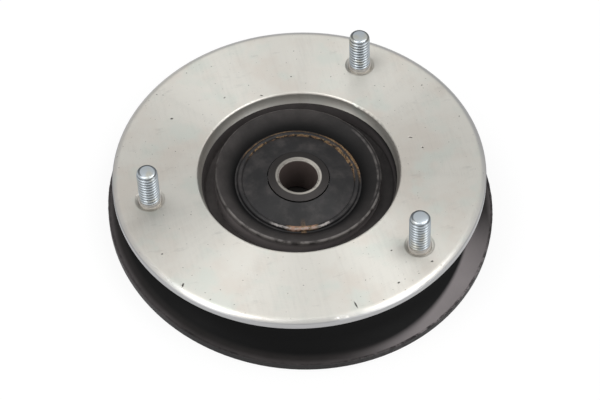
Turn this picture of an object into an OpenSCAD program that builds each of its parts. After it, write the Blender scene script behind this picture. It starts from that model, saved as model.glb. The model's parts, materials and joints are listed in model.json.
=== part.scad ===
// Strut mount: a steel top plate with three studs, bonded by a rubber body to a pressed base dish,
// and a sealed ball bearing in a steel cup that carries a turning sleeve for the damper rod.
// The lower rim is centred on the origin and stands on z = 0. The strut axis is upright, a little
// off the rim's centre, and the top plate leans on that axis.

/* [Top plate] */
// Outer diameter of the top plate
plate_d = 142; // [138:0.5:146]
// Thickness of the top plate
plate_t = 3.8; // [2.5:0.1:4]
// Width of the rounded roll round the plate's upper edge
roll_w = 2.6; // [1:0.1:4]
// Drop of that roll at the plate's side
roll_h = 1; // [0.4:0.1:1.6]
// Rounding of the plate's lower edge
plate_edge_r = 0.7; // [0.3:0.1:1.2]
// Diameter of the hole in the top plate
hole_d = 77; // [73:0.5:82]
// Depth of the lip turned down round the hole, from the top face
lip_h = 4.6; // [4.5:0.1:6]
// Wall of the turned-down lip, behind the hole's edge
lip_t = 3; // [2:0.1:4]
// How far the lip curls in under the hole's edge
lip_curl = 1.25; // [0.6:0.05:1.8]
// Rounding of the hole's upper edge
lip_edge_r = 0.8; // [0.4:0.1:1.2]
// Bend radius outside the turned-down lip
lip_fillet = 0.7; // [0.3:0.1:0.8]
// Height of the plate's top face above the base, on the strut axis
plate_h = 22; // [21:0.1:26]
// Lean of the plate against the strut axis, in degrees
lean = 4.5; // [0:0.1:6]
// Direction of the plate's high side from +X, in degrees
lean_dir = -47; // [-180:1:180]
// Distance of the strut axis from the rim's centre, towards the plate's low side
axis_shift = 1.8; // [0:0.1:2.5]

/* [Studs] */
// Outside diameter of the stud thread
stud_d = 8; // [6:0.5:8.5]
// Height of the studs above the plate
stud_h = 17; // [10:0.5:30]
// Radius of the circle that the studs stand on
stud_circle_r = 57.6; // [54:0.1:58]
// Angle of the paired studs on each side of +X, the single stud being on -X
stud_pair_angle = 52.4; // [35:0.1:75]
// Length of the tapered tip
stud_tip_h = 1.4; // [0.6:0.1:3]
// Inset of the tapered tip
stud_tip_inset = 1; // [0.4:0.1:2]
// Width of the pressed shoulder round the thread
shoulder_w = 0.6; // [0.3:0.1:0.9]
// Height of the pressed shoulder above the plate
shoulder_h = 0.8; // [0.3:0.1:2]
// Width of the rounded dimple round the shoulder
dimple_w = 1.1; // [0.6:0.1:2.4]
// Depth of the dimple
dimple_h = 0.35; // [0.2:0.05:1]
// Diameter of the stud's head under the plate
stud_head_d = 12; // [10.5:0.5:12.5]
// Thickness of the stud's head
stud_head_t = 2; // [1:0.1:2.4]

/* [Rubber body] */
// Diameter of the lower rim
rim_d = 148; // [144:0.5:154]
// Height of the band round the lower rim
rim_h = 2.8; // [2.4:0.1:4]
// Flat on top of the rim band
rim_flat = 1; // [0.4:0.1:2]
// Radius of the sweep from the rim up into the groove
groove_r = 12; // [10:0.1:13]
// Distance from the plate's edge to the top of the flare
flare_inset = 2.5; // [1:0.1:4]
// Thickness of the flare's edge under the plate
flare_edge = 0.8; // [0.4:0.1:1.2]
// Run of the sweep that the waist cuts off before its tangent
waist_cut = 0.15; // [0.1:0.05:0.5]
// Lap of the flare's sweep into the waist
waist_lap = 0.75; // [0.4:0.05:1.5]
// Least rubber between the moat's floor and the base dish
moat_cover = 1; // [0.6:0.1:3]
// How far the moat's wall runs in below the lip
moat_inset = 0.9; // [0.4:0.1:2]
// Radius between the moat's wall and its floor
moat_fillet = 1; // [0.3:0.1:1.4]
// Width of the ledge round the bearing cup
ledge_w = 5.8; // [4.5:0.1:6.5]
// Rise of the ledge's bell mouth above the cup's edge
ledge_rise = 5.2; // [3.5:0.1:5.5]
// Radius of the bell mouth
bell_r = 14; // [10:0.5:18]
// Rounding of the ledge's outer edge
ledge_edge_r = 1; // [0.5:0.1:1.6]
// Cup's edge left bare inside the bell mouth
mouth_w = 0.7; // [0.3:0.1:1.2]
// Height of the skirt's lower edge on the cup
skirt_h = 3; // [2:0.1:4]
// Width of the skirt on the cup
skirt_w = 1.5; // [0.8:0.1:3]
// Rubber between the cup and the base dish
web_w = 12; // [9:0.1:14]

/* [Base dish] */
// Thickness of the base dish
dish_t = 1.8; // [1.2:0.1:2.2]
// Rubber over the dish's outer edge
rim_cover = 2.2; // [1:0.1:4]
// Width of the dish's foot
foot_w = 11.5; // [8:0.1:14]
// Width of the dish's sloping wall
slope_w = 6.5; // [4:0.1:9]
// Depth of the hollow under the dish
seat_h = 6.5; // [5:0.1:7.5]

/* [Bearing] */
// Bore of the bearing
bearing_bore = 20; // [18:0.1:21]
// Outside diameter of the bearing
bearing_od = 47; // [46:0.1:51]
// Width of the bearing
bearing_w = 12; // [11:0.1:12.6]
// Diameter of the balls
ball_d = 6.75; // [6:0.05:7]
// Number of balls
ball_count = 9; // [7:1:10]
// Depth of the raceways
race_h = 1.3; // [0.8:0.1:1.6]
// Bevel on the rings' edges
ring_bevel = 0.5; // [0.2:0.1:0.8]
// Width of the bars over the balls in the cage
cage_bar = 0.7; // [0.4:0.05:0.8]

/* [Cup and shields] */
// Wall of the bearing cup
cup_t = 2.5; // [1.6:0.1:3]
// Height of the cup's underside above the base
cup_z = 0.6; // [0.3:0.1:1]
// Thickness of the cup's lower lip
cup_lip_t = 1.2; // [0.8:0.1:1.4]
// Width of the cup's lower lip under the outer ring
cup_lip_w = 2.6; // [1.5:0.1:3]
// Height of the cup's edge above the bearing
cup_rise = 1.2; // [0.9:0.1:1.6]
// Bend radius under the cup
cup_bend_r = 1.6; // [0.5:0.1:2]
// Thickness of the upper shield
shield_t = 0.9; // [0.5:0.1:1.1]
// Height of the upper shield's inner edge above the bearing
shield_rise = 3.8; // [3:0.1:4.2]
// Width of the half-round bead round the upper shield
bead_w = 2.2; // [1.6:0.1:2.4]
// Thickness of the lower shield
lower_shield_t = 0.6; // [0.4:0.05:0.7]
// Depth of the lower shield inside the bearing
lower_shield_z = 0.3; // [0.1:0.05:0.5]
// Seat of the lower shield in the outer ring
lower_shield_seat = 0.9; // [0.5:0.1:1.4]

/* [Sleeve] */
// Bore of the sleeve
sleeve_bore = 15; // [12:0.1:15.6]
// Width of the sleeve's collar round the bearing bore
collar_w = 1.65; // [1:0.05:1.8]
// Height of the collar above the bearing
collar_h = 4.7; // [4.4:0.1:6]
// Width of the sleeve's flat top
sleeve_top_w = 1; // [0.6:0.1:2]
// Drop of the collar's edge below the flat top
collar_drop = 0.5; // [0.3:0.1:1]
// Bevel at both ends of the sleeve's bore
sleeve_bevel = 0.5; // [0.2:0.1:0.8]

/* [Clearances] */
// Gap between each ball and its raceways
ball_gap = 0.1; // [0.05:0.01:0.12]
// Gap between each ball and its cage pocket
pocket_gap = 0.125; // [0.05:0.005:0.15]
// Gap between the cage and the rings
cage_gap = 0.4; // [0.2:0.05:0.5]
// Gap between a shield and what turns inside it
shield_gap = 0.35; // [0.2:0.05:0.6]

/* [Hidden] */
$fn = 96;
// Height that is clear of the whole mount
sky = plate_h + stud_h + plate_d;

// Where the strut axis stands
axis_x = -axis_shift * cos(lean_dir);
axis_y = -axis_shift * sin(lean_dir);

plate_r = plate_d / 2;
// Depth inside the plate at which the rubber's blocks end, before the plate is cut out of them
plate_mid = plate_t / 2;
// Radius of the roll's arc, which starts level with the plate's top face
roll_r = (roll_w * roll_w + roll_h * roll_h) / (2 * roll_h);
hole_r = hole_d / 2;
lip_r = hole_r + lip_t;
lip_tip_r = hole_r - lip_curl;
// Radius of the lip's inner arc, which starts upright below the hole's rounded edge
curl_h = lip_h - lip_edge_r;
curl_r = (curl_h * curl_h + lip_curl * lip_curl) / (2 * lip_curl);
rim_r = rim_d / 2;
stud_r = stud_d / 2;
shoulder_r = stud_r + shoulder_w;
// Radius of the dimple's arc, which is deepest at the shoulder
dimple_r = (dimple_w * dimple_w + dimple_h * dimple_h) / (2 * dimple_h);
stud_angles = [180, stud_pair_angle, -stud_pair_angle];

bearing_z = cup_z + cup_lip_t;
bearing_top = bearing_z + bearing_w;
bore_r = bearing_bore / 2;
cup_in_r = bearing_od / 2;
cup_r = cup_in_r + cup_t;
cup_top = bearing_top + cup_rise;
mouth_r = cup_in_r + mouth_w;
ledge_r = cup_r + ledge_w;
ledge_top = cup_top + ledge_rise;
// Centre of the bell mouth's arc, from the cup's edge up to the ledge's top
bell_c_r = mouth_r + sqrt(bell_r * bell_r - (bell_r - ledge_rise) * (bell_r - ledge_rise));
bell_c_z = ledge_top - bell_r;
// Slope of the bell mouth where the rounding of the ledge's edge takes over
edge_slope = asin((bell_c_r - ledge_r + ledge_edge_r) / (bell_r - ledge_edge_r));

dish_r = rim_r - rim_cover;
foot_r = dish_r - foot_w;
seat_r = foot_r - slope_w;
dish_hole_r = cup_r + web_w;
dish_top = seat_h + dish_t;
// How far a bend in the dish moves outwards through its thickness
dish_shift = dish_t * tan(atan2(seat_h, slope_w) / 2);

groove_c_r = rim_r - rim_flat;
groove_c_z = rim_h + groove_r;
waist_r = groove_c_r - groove_r + waist_cut;
flare_r = plate_r - flare_inset;
flare_sweep = flare_r - waist_r + waist_lap;
moat_r = lip_tip_r - moat_inset;
// Depth of the moat's floor below the plate's top face, set by its lowest point
moat_h = (plate_h - dish_top - moat_cover - moat_r * tan(lean)) * cos(lean);

ball_z = bearing_z + bearing_w / 2;
ball_r = ball_d / 2;
pitch_r = (bore_r + cup_in_r) / 2;
race_r = ball_r + ball_gap;
inner_land_r = pitch_r - race_r + race_h;
outer_land_r = pitch_r + race_r - race_h;
pocket_r = ball_r + pocket_gap;
cage_half_h = pocket_r + cage_bar;

collar_r = bore_r + collar_w;
crown_r = collar_r + shield_gap;
lower_seat_r = outer_land_r + lower_shield_seat;
lower_seat_z = bearing_z + lower_shield_z + lower_shield_t;

// Places its children on the strut axis
module on_axis() {
    translate([axis_x, axis_y, 0]) children();
}

// Places its children in the leaning plate's frame, with the top face at z = 0 and +X to the high side
module on_plate() {
    on_axis()
        translate([0, 0, plate_h])
            rotate([0, 0, lean_dir])
                rotate([0, -lean, 0])
                    children();
}

// Places its children at the foot of each stud
module at_studs() {
    on_plate()
        for (a = stud_angles)
            rotate([0, 0, a - lean_dir])
                translate([stud_circle_r, 0, 0])
                    children();
}

// Section between a corner at the origin and an arc of radius r on the corner's side [x, y]
module corner(r, side) {
    difference() {
        square(2 * r, center = true);
        translate(r * side) circle(r);
    }
}

module plate_ring() {
    rotate_extrude()
        difference() {
            union() {
                translate([hole_r, -plate_t]) square([plate_r - hole_r, plate_t]);
                translate([lip_tip_r, -lip_h]) square([lip_r - lip_tip_r, lip_h]);
                translate([lip_r, -plate_t]) corner(lip_fillet, [1, -1]);
            }
            translate([hole_r - curl_r, -lip_edge_r]) circle(curl_r);
            translate([0, -lip_edge_r]) square([hole_r, sky]);
            translate([hole_r, 0]) corner(lip_edge_r, [1, -1]);
            translate([plate_r, -plate_t]) corner(plate_edge_r, [-1, 1]);
            translate([plate_r, 0])
                difference() {
                    square([2 * roll_w, 2 * roll_h], center = true);
                    translate([-roll_w, -roll_r]) circle(roll_r);
                }
        }
}

// Rounded hollow round a stud's shoulder
module dimple() {
    rotate_extrude()
        intersection() {
            translate([shoulder_r, dimple_r - dimple_h]) circle(dimple_r);
            translate([0, -dimple_h]) square([shoulder_r + dimple_w, 2 * dimple_h]);
        }
}

module stud() {
    rotate_extrude()
        polygon([
            [0, -plate_t - stud_head_t],
            [stud_head_d / 2, -plate_t - stud_head_t],
            [stud_head_d / 2, -plate_t],
            [shoulder_r, -plate_t],
            [shoulder_r, shoulder_h],
            [stud_r, shoulder_h],
            [stud_r, stud_h - stud_tip_h],
            [stud_r - stud_tip_inset, stud_h],
            [0, stud_h]
        ]);
}

module top_plate() {
    color([0.78, 0.77, 0.74])
        difference() {
            on_plate() plate_ring();
            at_studs() {
                cylinder(r = shoulder_r, h = sky, center = true);
                dimple();
            }
        }
}

module studs() {
    color([0.72, 0.76, 0.8]) at_studs() stud();
}

// Outline that the rubber fills above the base dish, before the groove and the hollow are cut
module rubber_outline() {
    mid_t = dish_t / 2;
    polygon([
        [rim_r, 0],
        [rim_r, sky],
        [0, sky],
        [0, seat_h],
        [dish_hole_r + mid_t, seat_h],
        [dish_hole_r + mid_t, seat_h + mid_t],
        [seat_r + dish_shift / 2, seat_h + mid_t],
        [foot_r + dish_shift / 2, mid_t],
        [dish_r - mid_t, mid_t],
        [dish_r - mid_t, 0]
    ]);
}

// Lower half of the spool: the rim and the sweep up to the waist
module spool() {
    rotate_extrude()
        difference() {
            rubber_outline();
            translate([groove_c_r, groove_c_z]) circle(groove_r);
            translate([waist_r, groove_c_z]) square([rim_r, sky]);
            translate([groove_c_r, rim_h]) square([rim_r, sky]);
        }
}

// Upper half of the spool: the flare under the leaning plate
module flare() {
    depth = plate_t + flare_edge + flare_sweep;
    intersection() {
        rotate_extrude() rubber_outline();
        on_plate()
            rotate_extrude()
                difference() {
                    translate([hole_r, -depth]) square([flare_r - hole_r, depth - plate_mid]);
                    translate([flare_r, -depth]) circle(flare_sweep);
                }
    }
}

// Hollow inside the plate's hole, down to the moat's floor
module moat() {
    rotate_extrude()
        difference() {
            polygon([
                [0, sky],
                [0, -moat_h],
                [moat_r, -moat_h],
                [moat_r, moat_fillet - moat_h],
                [lip_tip_r, -lip_h],
                [hole_r, -lip_h],
                [hole_r, sky]
            ]);
            translate([moat_r, -moat_h]) corner(moat_fillet, [-1, 1]);
        }
}

// Ledge round the cup: a bell mouth inside, and a rounded edge that runs on from it
module ledge() {
    edge_r = ledge_r - ledge_edge_r;
    rotate_extrude()
        difference() {
            translate([cup_in_r, seat_h]) square([ledge_w + cup_t, ledge_top - seat_h]);
            difference() {
                translate([0, cup_top]) square([ledge_r, sky]);
                translate([bell_c_r, bell_c_z]) circle(bell_r);
            }
            translate([edge_r, bell_c_z + (bell_r - ledge_edge_r) * cos(edge_slope)])
                difference() {
                    translate([-ledge_edge_r * sin(edge_slope), 0]) square(sky);
                    circle(ledge_edge_r);
                }
        }
}

// Skirt of rubber that runs down the cup below the dish
module skirt() {
    skirt_r = cup_r + skirt_w;
    bevel_r = skirt_r + seat_h - skirt_h;
    rotate_extrude()
        polygon([
            [cup_in_r, skirt_h],
            [skirt_r, skirt_h],
            [bevel_r, seat_h],
            [bevel_r, dish_top],
            [cup_in_r, dish_top]
        ]);
}

module rubber_body() {
    color([0.1, 0.1, 0.1])
        difference() {
            union() {
                difference() {
                    intersection() {
                        spool();
                        on_plate() translate([0, 0, -plate_mid - sky]) cylinder(r = sky, h = sky);
                    }
                    on_plate() moat();
                }
                flare();
                on_axis() ledge();
                on_axis() skirt();
            }
            on_axis() cylinder(r = mouth_r, h = sky);
            on_plate() plate_ring();
            at_studs() stud();
            dish_ring();
            on_axis() cup_ring();
        }
}

module dish_ring() {
    rotate_extrude()
        polygon([
            [dish_r, 0],
            [foot_r, 0],
            [seat_r, seat_h],
            [dish_hole_r, seat_h],
            [dish_hole_r, dish_top],
            [seat_r + dish_shift, dish_top],
            [foot_r + dish_shift, dish_t],
            [dish_r, dish_t]
        ]);
}

module base_dish() {
    color([0.16, 0.16, 0.17]) dish_ring();
}

module cup_ring() {
    rotate_extrude()
        difference() {
            polygon([
                [cup_in_r - cup_lip_w, cup_z],
                [cup_r, cup_z],
                [cup_r, cup_top],
                [cup_in_r, cup_top],
                [cup_in_r, bearing_z],
                [cup_in_r - cup_lip_w, bearing_z]
            ]);
            translate([cup_r, cup_z]) corner(cup_bend_r, [-1, 1]);
        }
}

module bearing_cup() {
    color([0.13, 0.12, 0.12]) on_axis() cup_ring();
}

// Coned sheet over the bearing, with a half-round bead that fills the cup's edge
module upper_shield() {
    bead_r = bead_w / 2;
    bead_c_r = cup_in_r - bead_r;
    crown_z = bearing_top + shield_rise;
    color([0.17, 0.17, 0.17])
        on_axis()
            rotate_extrude()
                union() {
                    translate([cup_in_r - bead_w, bearing_top]) square([bead_w, cup_rise]);
                    translate([bead_c_r, cup_top]) circle(bead_r);
                    polygon([
                        [bead_c_r, cup_top],
                        [crown_r, crown_z],
                        [crown_r, crown_z - shield_t],
                        [bead_c_r, cup_top - shield_t]
                    ]);
                }
}

module lower_shield() {
    color([0.3, 0.3, 0.31])
        on_axis()
            translate([0, 0, bearing_z + lower_shield_z])
                difference() {
                    cylinder(r = lower_seat_r, h = lower_shield_t);
                    cylinder(r = inner_land_r + shield_gap, h = sky, center = true);
                }
}

// Section of a bearing ring between two radii, with its raceway cut and its edges bevelled
module ring_section(r_in, r_out) {
    difference() {
        polygon([
            [r_in + ring_bevel, bearing_z],
            [r_out - ring_bevel, bearing_z],
            [r_out, bearing_z + ring_bevel],
            [r_out, bearing_top - ring_bevel],
            [r_out - ring_bevel, bearing_top],
            [r_in + ring_bevel, bearing_top],
            [r_in, bearing_top - ring_bevel],
            [r_in, bearing_z + ring_bevel]
        ]);
        translate([pitch_r, ball_z]) circle(race_r);
    }
}

module bearing_outer_ring() {
    color([0.66, 0.67, 0.68])
        on_axis()
            difference() {
                rotate_extrude() ring_section(outer_land_r, cup_in_r);
                cylinder(r = lower_seat_r, h = lower_seat_z);
            }
}

module bearing_inner_ring() {
    color([0.66, 0.67, 0.68]) on_axis() rotate_extrude() ring_section(bore_r, inner_land_r);
}

// Places its children at each ball's centre
module at_balls() {
    for (i = [0:ball_count - 1])
        rotate([0, 0, 360 * i / ball_count])
            translate([pitch_r, 0, ball_z])
                children();
}

module bearing_balls() {
    color([0.8, 0.81, 0.82]) on_axis() at_balls() sphere(r = ball_r);
}

module ball_cage() {
    cage_in_r = inner_land_r + cage_gap;
    cage_r = outer_land_r - cage_gap;
    color([0.6, 0.61, 0.62])
        on_axis()
            difference() {
                translate([0, 0, ball_z - cage_half_h])
                    difference() {
                        cylinder(r = cage_r, h = 2 * cage_half_h);
                        cylinder(r = cage_in_r, h = sky, center = true);
                    }
                at_balls() rotate([0, 90, 0]) cylinder(r = pocket_r, h = ball_d, center = true);
            }
}

module inner_sleeve() {
    sleeve_r = sleeve_bore / 2;
    sleeve_top = bearing_top + collar_h;
    top_r = sleeve_r + sleeve_bevel + sleeve_top_w;
    color([0.7, 0.69, 0.67])
        on_axis()
            rotate_extrude()
                polygon([
                    [sleeve_r + sleeve_bevel, cup_z],
                    [bore_r, cup_z],
                    [bore_r, bearing_top],
                    [collar_r, bearing_top],
                    [collar_r, sleeve_top - collar_drop],
                    [top_r, sleeve_top],
                    [sleeve_r + sleeve_bevel, sleeve_top],
                    [sleeve_r, sleeve_top - sleeve_bevel],
                    [sleeve_r, cup_z + sleeve_bevel]
                ]);
}

top_plate();
studs();
rubber_body();
base_dish();
bearing_cup();
upper_shield();
lower_shield();
bearing_outer_ring();
bearing_inner_ring();
bearing_balls();
ball_cage();
inner_sleeve();
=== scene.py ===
"""Looks of a strut mount: steel plate with threaded studs, rubber body, sealed bearing and sleeve."""

import json
import math

import bmesh
import bpy
from bpy.props import FloatProperty, FloatVectorProperty, IntProperty, PointerProperty
from mathutils import Matrix, Vector, noise


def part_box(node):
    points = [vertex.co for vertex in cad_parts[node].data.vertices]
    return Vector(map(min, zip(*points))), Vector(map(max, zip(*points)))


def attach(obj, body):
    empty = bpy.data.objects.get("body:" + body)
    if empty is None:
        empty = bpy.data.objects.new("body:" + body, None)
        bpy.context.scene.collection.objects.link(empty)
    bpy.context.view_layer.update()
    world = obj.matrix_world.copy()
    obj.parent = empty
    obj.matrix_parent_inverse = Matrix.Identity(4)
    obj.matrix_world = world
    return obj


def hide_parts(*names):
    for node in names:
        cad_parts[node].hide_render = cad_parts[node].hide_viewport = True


bl_info = {
    "name": "Strut mount looks",
    "version": (1, 0, 0),
    "blender": (4, 5, 0),
    "location": "3D View > Sidebar > Strut mount",
    "description": "Dresses the frame of a strut mount: finishes, stud threads, rubber flash and the stage",
    "category": "Object",
}

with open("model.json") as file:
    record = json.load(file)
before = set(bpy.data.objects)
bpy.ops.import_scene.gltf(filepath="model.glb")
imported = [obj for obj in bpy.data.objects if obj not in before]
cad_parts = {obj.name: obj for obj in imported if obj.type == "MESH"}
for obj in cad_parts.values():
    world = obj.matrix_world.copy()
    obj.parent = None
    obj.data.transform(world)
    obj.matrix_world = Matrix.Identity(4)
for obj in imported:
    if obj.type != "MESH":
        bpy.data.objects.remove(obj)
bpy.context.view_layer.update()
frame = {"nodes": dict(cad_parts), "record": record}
MM = 0.001
MOUNTS = {mount["name"]: mount for mount in frame["record"]["mounts"]}
STUD_MOUNTS = ("single_stud", "back_pair_stud", "front_pair_stud")
# Foot of the strut axis, on which the hub and the plate are centred
AXIS = Vector((*MOUNTS["rod_bore"]["pos_m"][:2], 0))
HUB = Matrix.Translation(AXIS)


def plate_matrix():
    """Frame of the leaning plate: its top face is z = 0 and the strut axis passes its origin."""
    face = MOUNTS["tower_face"]
    normal = Vector(face["axis"])
    height = normal.dot(Vector(face["pos_m"]) - AXIS) / normal.z
    lean = Vector((0, 0, 1)).rotation_difference(normal)
    return Matrix.Translation(AXIS + Vector((0, 0, height))) @ lean.to_matrix().to_4x4()


def half_width(node):
    """Half of a frame piece's width, which is the radius of a round one."""
    low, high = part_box(node)
    return (high.x - low.x) / 2


def heading(degrees):
    """Unit vector in the direction of an azimuth."""
    return (math.cos(math.radians(degrees)), math.sin(math.radians(degrees)), 0)


PLATE = plate_matrix()
SHIELD_R = half_width("upper_shield")
SLEEVE_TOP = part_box("inner_sleeve")[1].z
RIM_R = half_width("rubber_body")


def length_setting(name, description, default):
    """A length that a user may change, in metres."""
    return FloatProperty(
        name=name, description=description, default=default, subtype="DISTANCE", unit="LENGTH")


def angle_setting(name, description, degrees):
    """An angle that a user may change."""
    return FloatProperty(
        name=name, description=description, default=math.radians(degrees), subtype="ANGLE", unit="ROTATION")


def colour_setting(name, description, default):
    """A colour that a user may change."""
    return FloatVectorProperty(name=name, description=description, default=default, subtype="COLOR")


class StrutMountSizes(bpy.types.PropertyGroup):
    """Sizes of what the frame leaves plain."""

    thread_pitch: length_setting("Thread pitch", "Rise of the stud thread in one turn", 1.5 * MM)
    thread_depth: length_setting("Thread depth", "Depth of the stud thread from crest to root", 0.8 * MM)
    tip_h: length_setting("Tip height", "Height of the rounded tip above the thread", 1.4 * MM)
    tip_inset: length_setting("Tip inset", "How far the rounded tip draws in", 1.3 * MM)
    tip_dome: length_setting("Tip dome", "Rise of the tip's face in its middle", 0.25 * MM)
    shoulder_w: length_setting("Shoulder width", "Width of the pressed shoulder round the thread", 0.6 * MM)
    shoulder_h: length_setting("Shoulder height", "Height of the pressed shoulder above the plate", 0.8 * MM)
    plate_t: length_setting(
        "Plate thickness", "Thickness of the plate that the studs are pressed into", 3.8 * MM)
    head_r: length_setting("Head radius", "Radius of a stud's head under the plate", 6.0 * MM)
    head_t: length_setting("Head thickness", "Thickness of a stud's head", 2.0 * MM)
    rim_h: length_setting("Rim height", "Height of the band round the rubber rim", 2.8 * MM)
    flash_w: length_setting("Flash width", "Most that the moulding flash stands out from the rim", 0.35 * MM)
    round_steps: IntProperty(
        name="Round steps", description="Steps round each stud", default=64, min=16)
    pitch_steps: IntProperty(
        name="Pitch steps", description="Rings in each turn of the thread", default=16, min=8)


class StrutMountColours(bpy.types.PropertyGroup):
    """Colours of the finishes."""

    steel: colour_setting("Plate steel", "Bare steel of the top plate", (0.72, 0.705, 0.655))
    steel_warm: colour_setting("Warm stain", "Faint warm stain on the plate", (0.69, 0.655, 0.60))
    steel_cool: colour_setting("Cool stain", "Faint greenish stain on the plate", (0.67, 0.685, 0.635))
    # Painted shade: darker, cooler colour laid on the plate's rolled and cut edge
    steel_edge_shade: colour_setting(
        "Edge steel", "Cooler, darker steel of the plate's rolled and cut edge", (0.44, 0.44, 0.445))
    # Dark colour of the plate's pits and scratches, also used for painted shade on the lip and round the stud
    # feet
    pit: colour_setting("Pits", "Pits and scratches in the plate", (0.07, 0.065, 0.06))
    zinc: colour_setting("Zinc", "Bright zinc of the studs", (0.53, 0.58, 0.62))
    # Colour of the dirt and painted shade in the thread roots
    zinc_dark: colour_setting("Dark zinc", "Dirt in the roots of the stud threads", (0.07, 0.075, 0.08))
    zinc_yellow: colour_setting("Yellowed zinc", "Yellowish tint on the studs", (0.55, 0.545, 0.48))
    zinc_foot: colour_setting("Stud foot", "Warmer metal at the foot of a stud", (0.60, 0.57, 0.535))
    rubber: colour_setting("Rubber", "Black rubber", (0.005, 0.005, 0.0052))
    # Colour of dust, also used for the painted fill light in the well
    dust_and_fill: colour_setting("Dust", "Brownish dust on the rubber and the black steel", (0.074, 0.066, 0.064))
    # Grey of the bloom and dust on the rim, of the painted sheen on the groove and of the painted fill on the
    # well's walls
    bloom_sheen_and_fill: colour_setting("Bloom", "Thicker grey bloom on the rubber", (0.28, 0.255, 0.258))
    black: colour_setting(
        "Black steel", "Blackened steel of the dish, cup and shield", (0.013, 0.0126, 0.0132))
    rust: colour_setting("Rust", "Golden brown rust along the shield's bead", (0.25, 0.165, 0.08))
    rust_dark: colour_setting("Dark rust", "Older dark rust", (0.10, 0.052, 0.03))
    rust_thin: colour_setting("Thin rust", "Thin pinkish rust at the front of the bead", (0.33, 0.19, 0.135))
    # Pale colour of the painted highlight lines on the ledge and of the bare bead with its painted highlight
    wear_and_highlight: colour_setting("Worn edge", "Pale lines on the worn ledge and the bare bead", (0.36, 0.335, 0.32))
    bearing: colour_setting("Bearing steel", "Ground bearing steel", (0.56, 0.565, 0.57))
    sleeve: colour_setting(
        "Sleeve steel", "Worn steel of the sleeve, and film on the bearing", (0.46, 0.435, 0.395))
    sleeve_dark: colour_setting(
        "Sleeve dirt", "Dark oily film on the sleeve's collar", (0.045, 0.042, 0.041))
    bore: colour_setting("Bore", "Brownish steel in the sleeve's bore", (0.11, 0.085, 0.078))
    floor: colour_setting("Floor", "Pale floor round the mount", (0.97, 0.97, 0.97))
    # Painted shadow on the floor under the mount
    floor_shade: colour_setting("Floor shade", "Floor that the mount covers", (0.05, 0.046, 0.044))


class StrutMountStage(bpy.types.PropertyGroup):
    """Camera and light."""

    view_elevation: angle_setting(
        "View elevation", "Height of the camera above the plate's face, as an angle", 51.91)
    view_turn: angle_setting("View turn", "Turn of the camera round the plate", -11.3)
    view_roll: angle_setting("View roll", "Roll of the camera about its own axis", 2.38)
    view_distance: length_setting(
        "View distance", "Distance from the camera to the middle of the plate", 923.7 * MM)
    view_side: length_setting("View side step", "Step of the camera to its own right", 0.4 * MM)
    view_drop: length_setting("View drop", "Step of the camera to its own underside", 11.3 * MM)
    lens: FloatProperty(
        name="Lens", description="Focal length on a sensor 36 mm wide, in millimetres", default=146.16)
    floor_r: length_setting("Floor radius", "Radius of the floor", 4.0)
    horizon: FloatProperty(
        name="Horizon light", description="Brightness of the surroundings at the horizon", default=0.78)
    zenith: FloatProperty(
        name="Overhead light", description="Brightness of the surroundings overhead", default=0.68)
    behind: FloatProperty(
        name="Light behind", description="Share of the light that is left low behind the mount", default=0.55)


class Nodes:
    """Adds nodes to one tree."""

    def __init__(self, tree):
        self.tree = tree

    def feed(self, socket, value):
        """Links a socket to another one, or sets its value."""
        if isinstance(value, bpy.types.NodeSocket):
            self.tree.links.new(value, socket)
        elif socket.type == "RGBA" and len(value) == 3:
            socket.default_value = (*value, 1)
        else:
            socket.default_value = value

    def add(self, kind, options=None, **inputs):
        """Adds a node; an underscore in an input's name stands for a space."""
        node = self.tree.nodes.new(kind)
        for name, value in (options or {}).items():
            setattr(node, name, value)
        for name, value in inputs.items():
            self.feed(node.inputs[name.replace("_", " ")], value)
        return node

    def operate(self, kind, operation, values):
        """Adds a node that applies an operation to values."""
        node = self.add(kind, {"operation": operation})
        for socket, value in zip(node.inputs, values):
            self.feed(socket, value)
        return node

    def math(self, operation, *values):
        return self.operate("ShaderNodeMath", operation, values).outputs[0]

    def vector(self, operation, *values, out=0):
        return self.operate("ShaderNodeVectorMath", operation, values).outputs[out]

    def chain(self, operation, values):
        """Applies an operation to any number of values, one after the other."""
        total = values[0]
        for value in values[1:]:
            total = self.math(operation, total, value)
        return total

    def product(self, *values):
        return self.chain("MULTIPLY", values)

    def highest(self, *values):
        return self.chain("MAXIMUM", values)

    def apart(self, value, middle):
        """Distance of a value from a middle one."""
        return self.math("ABSOLUTE", self.math("SUBTRACT", value, middle))

    def ramp(self, value, low, high):
        """0 at low, 1 at high and smooth between; low may be above high."""
        smooth = {"interpolation_type": "SMOOTHSTEP"}
        node = self.add("ShaderNodeMapRange", smooth, Value=value, From_Min=low, From_Max=high)
        return node.outputs["Result"]

    def spread(self, value, low, high, start=0.0, end=1.0):
        """Maps start..end, which is 0..1 unless given, to low..high."""
        node = self.add(
            "ShaderNodeMapRange", Value=value, From_Min=start, From_Max=end, To_Min=low, To_Max=high)
        return node.outputs["Result"]


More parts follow.
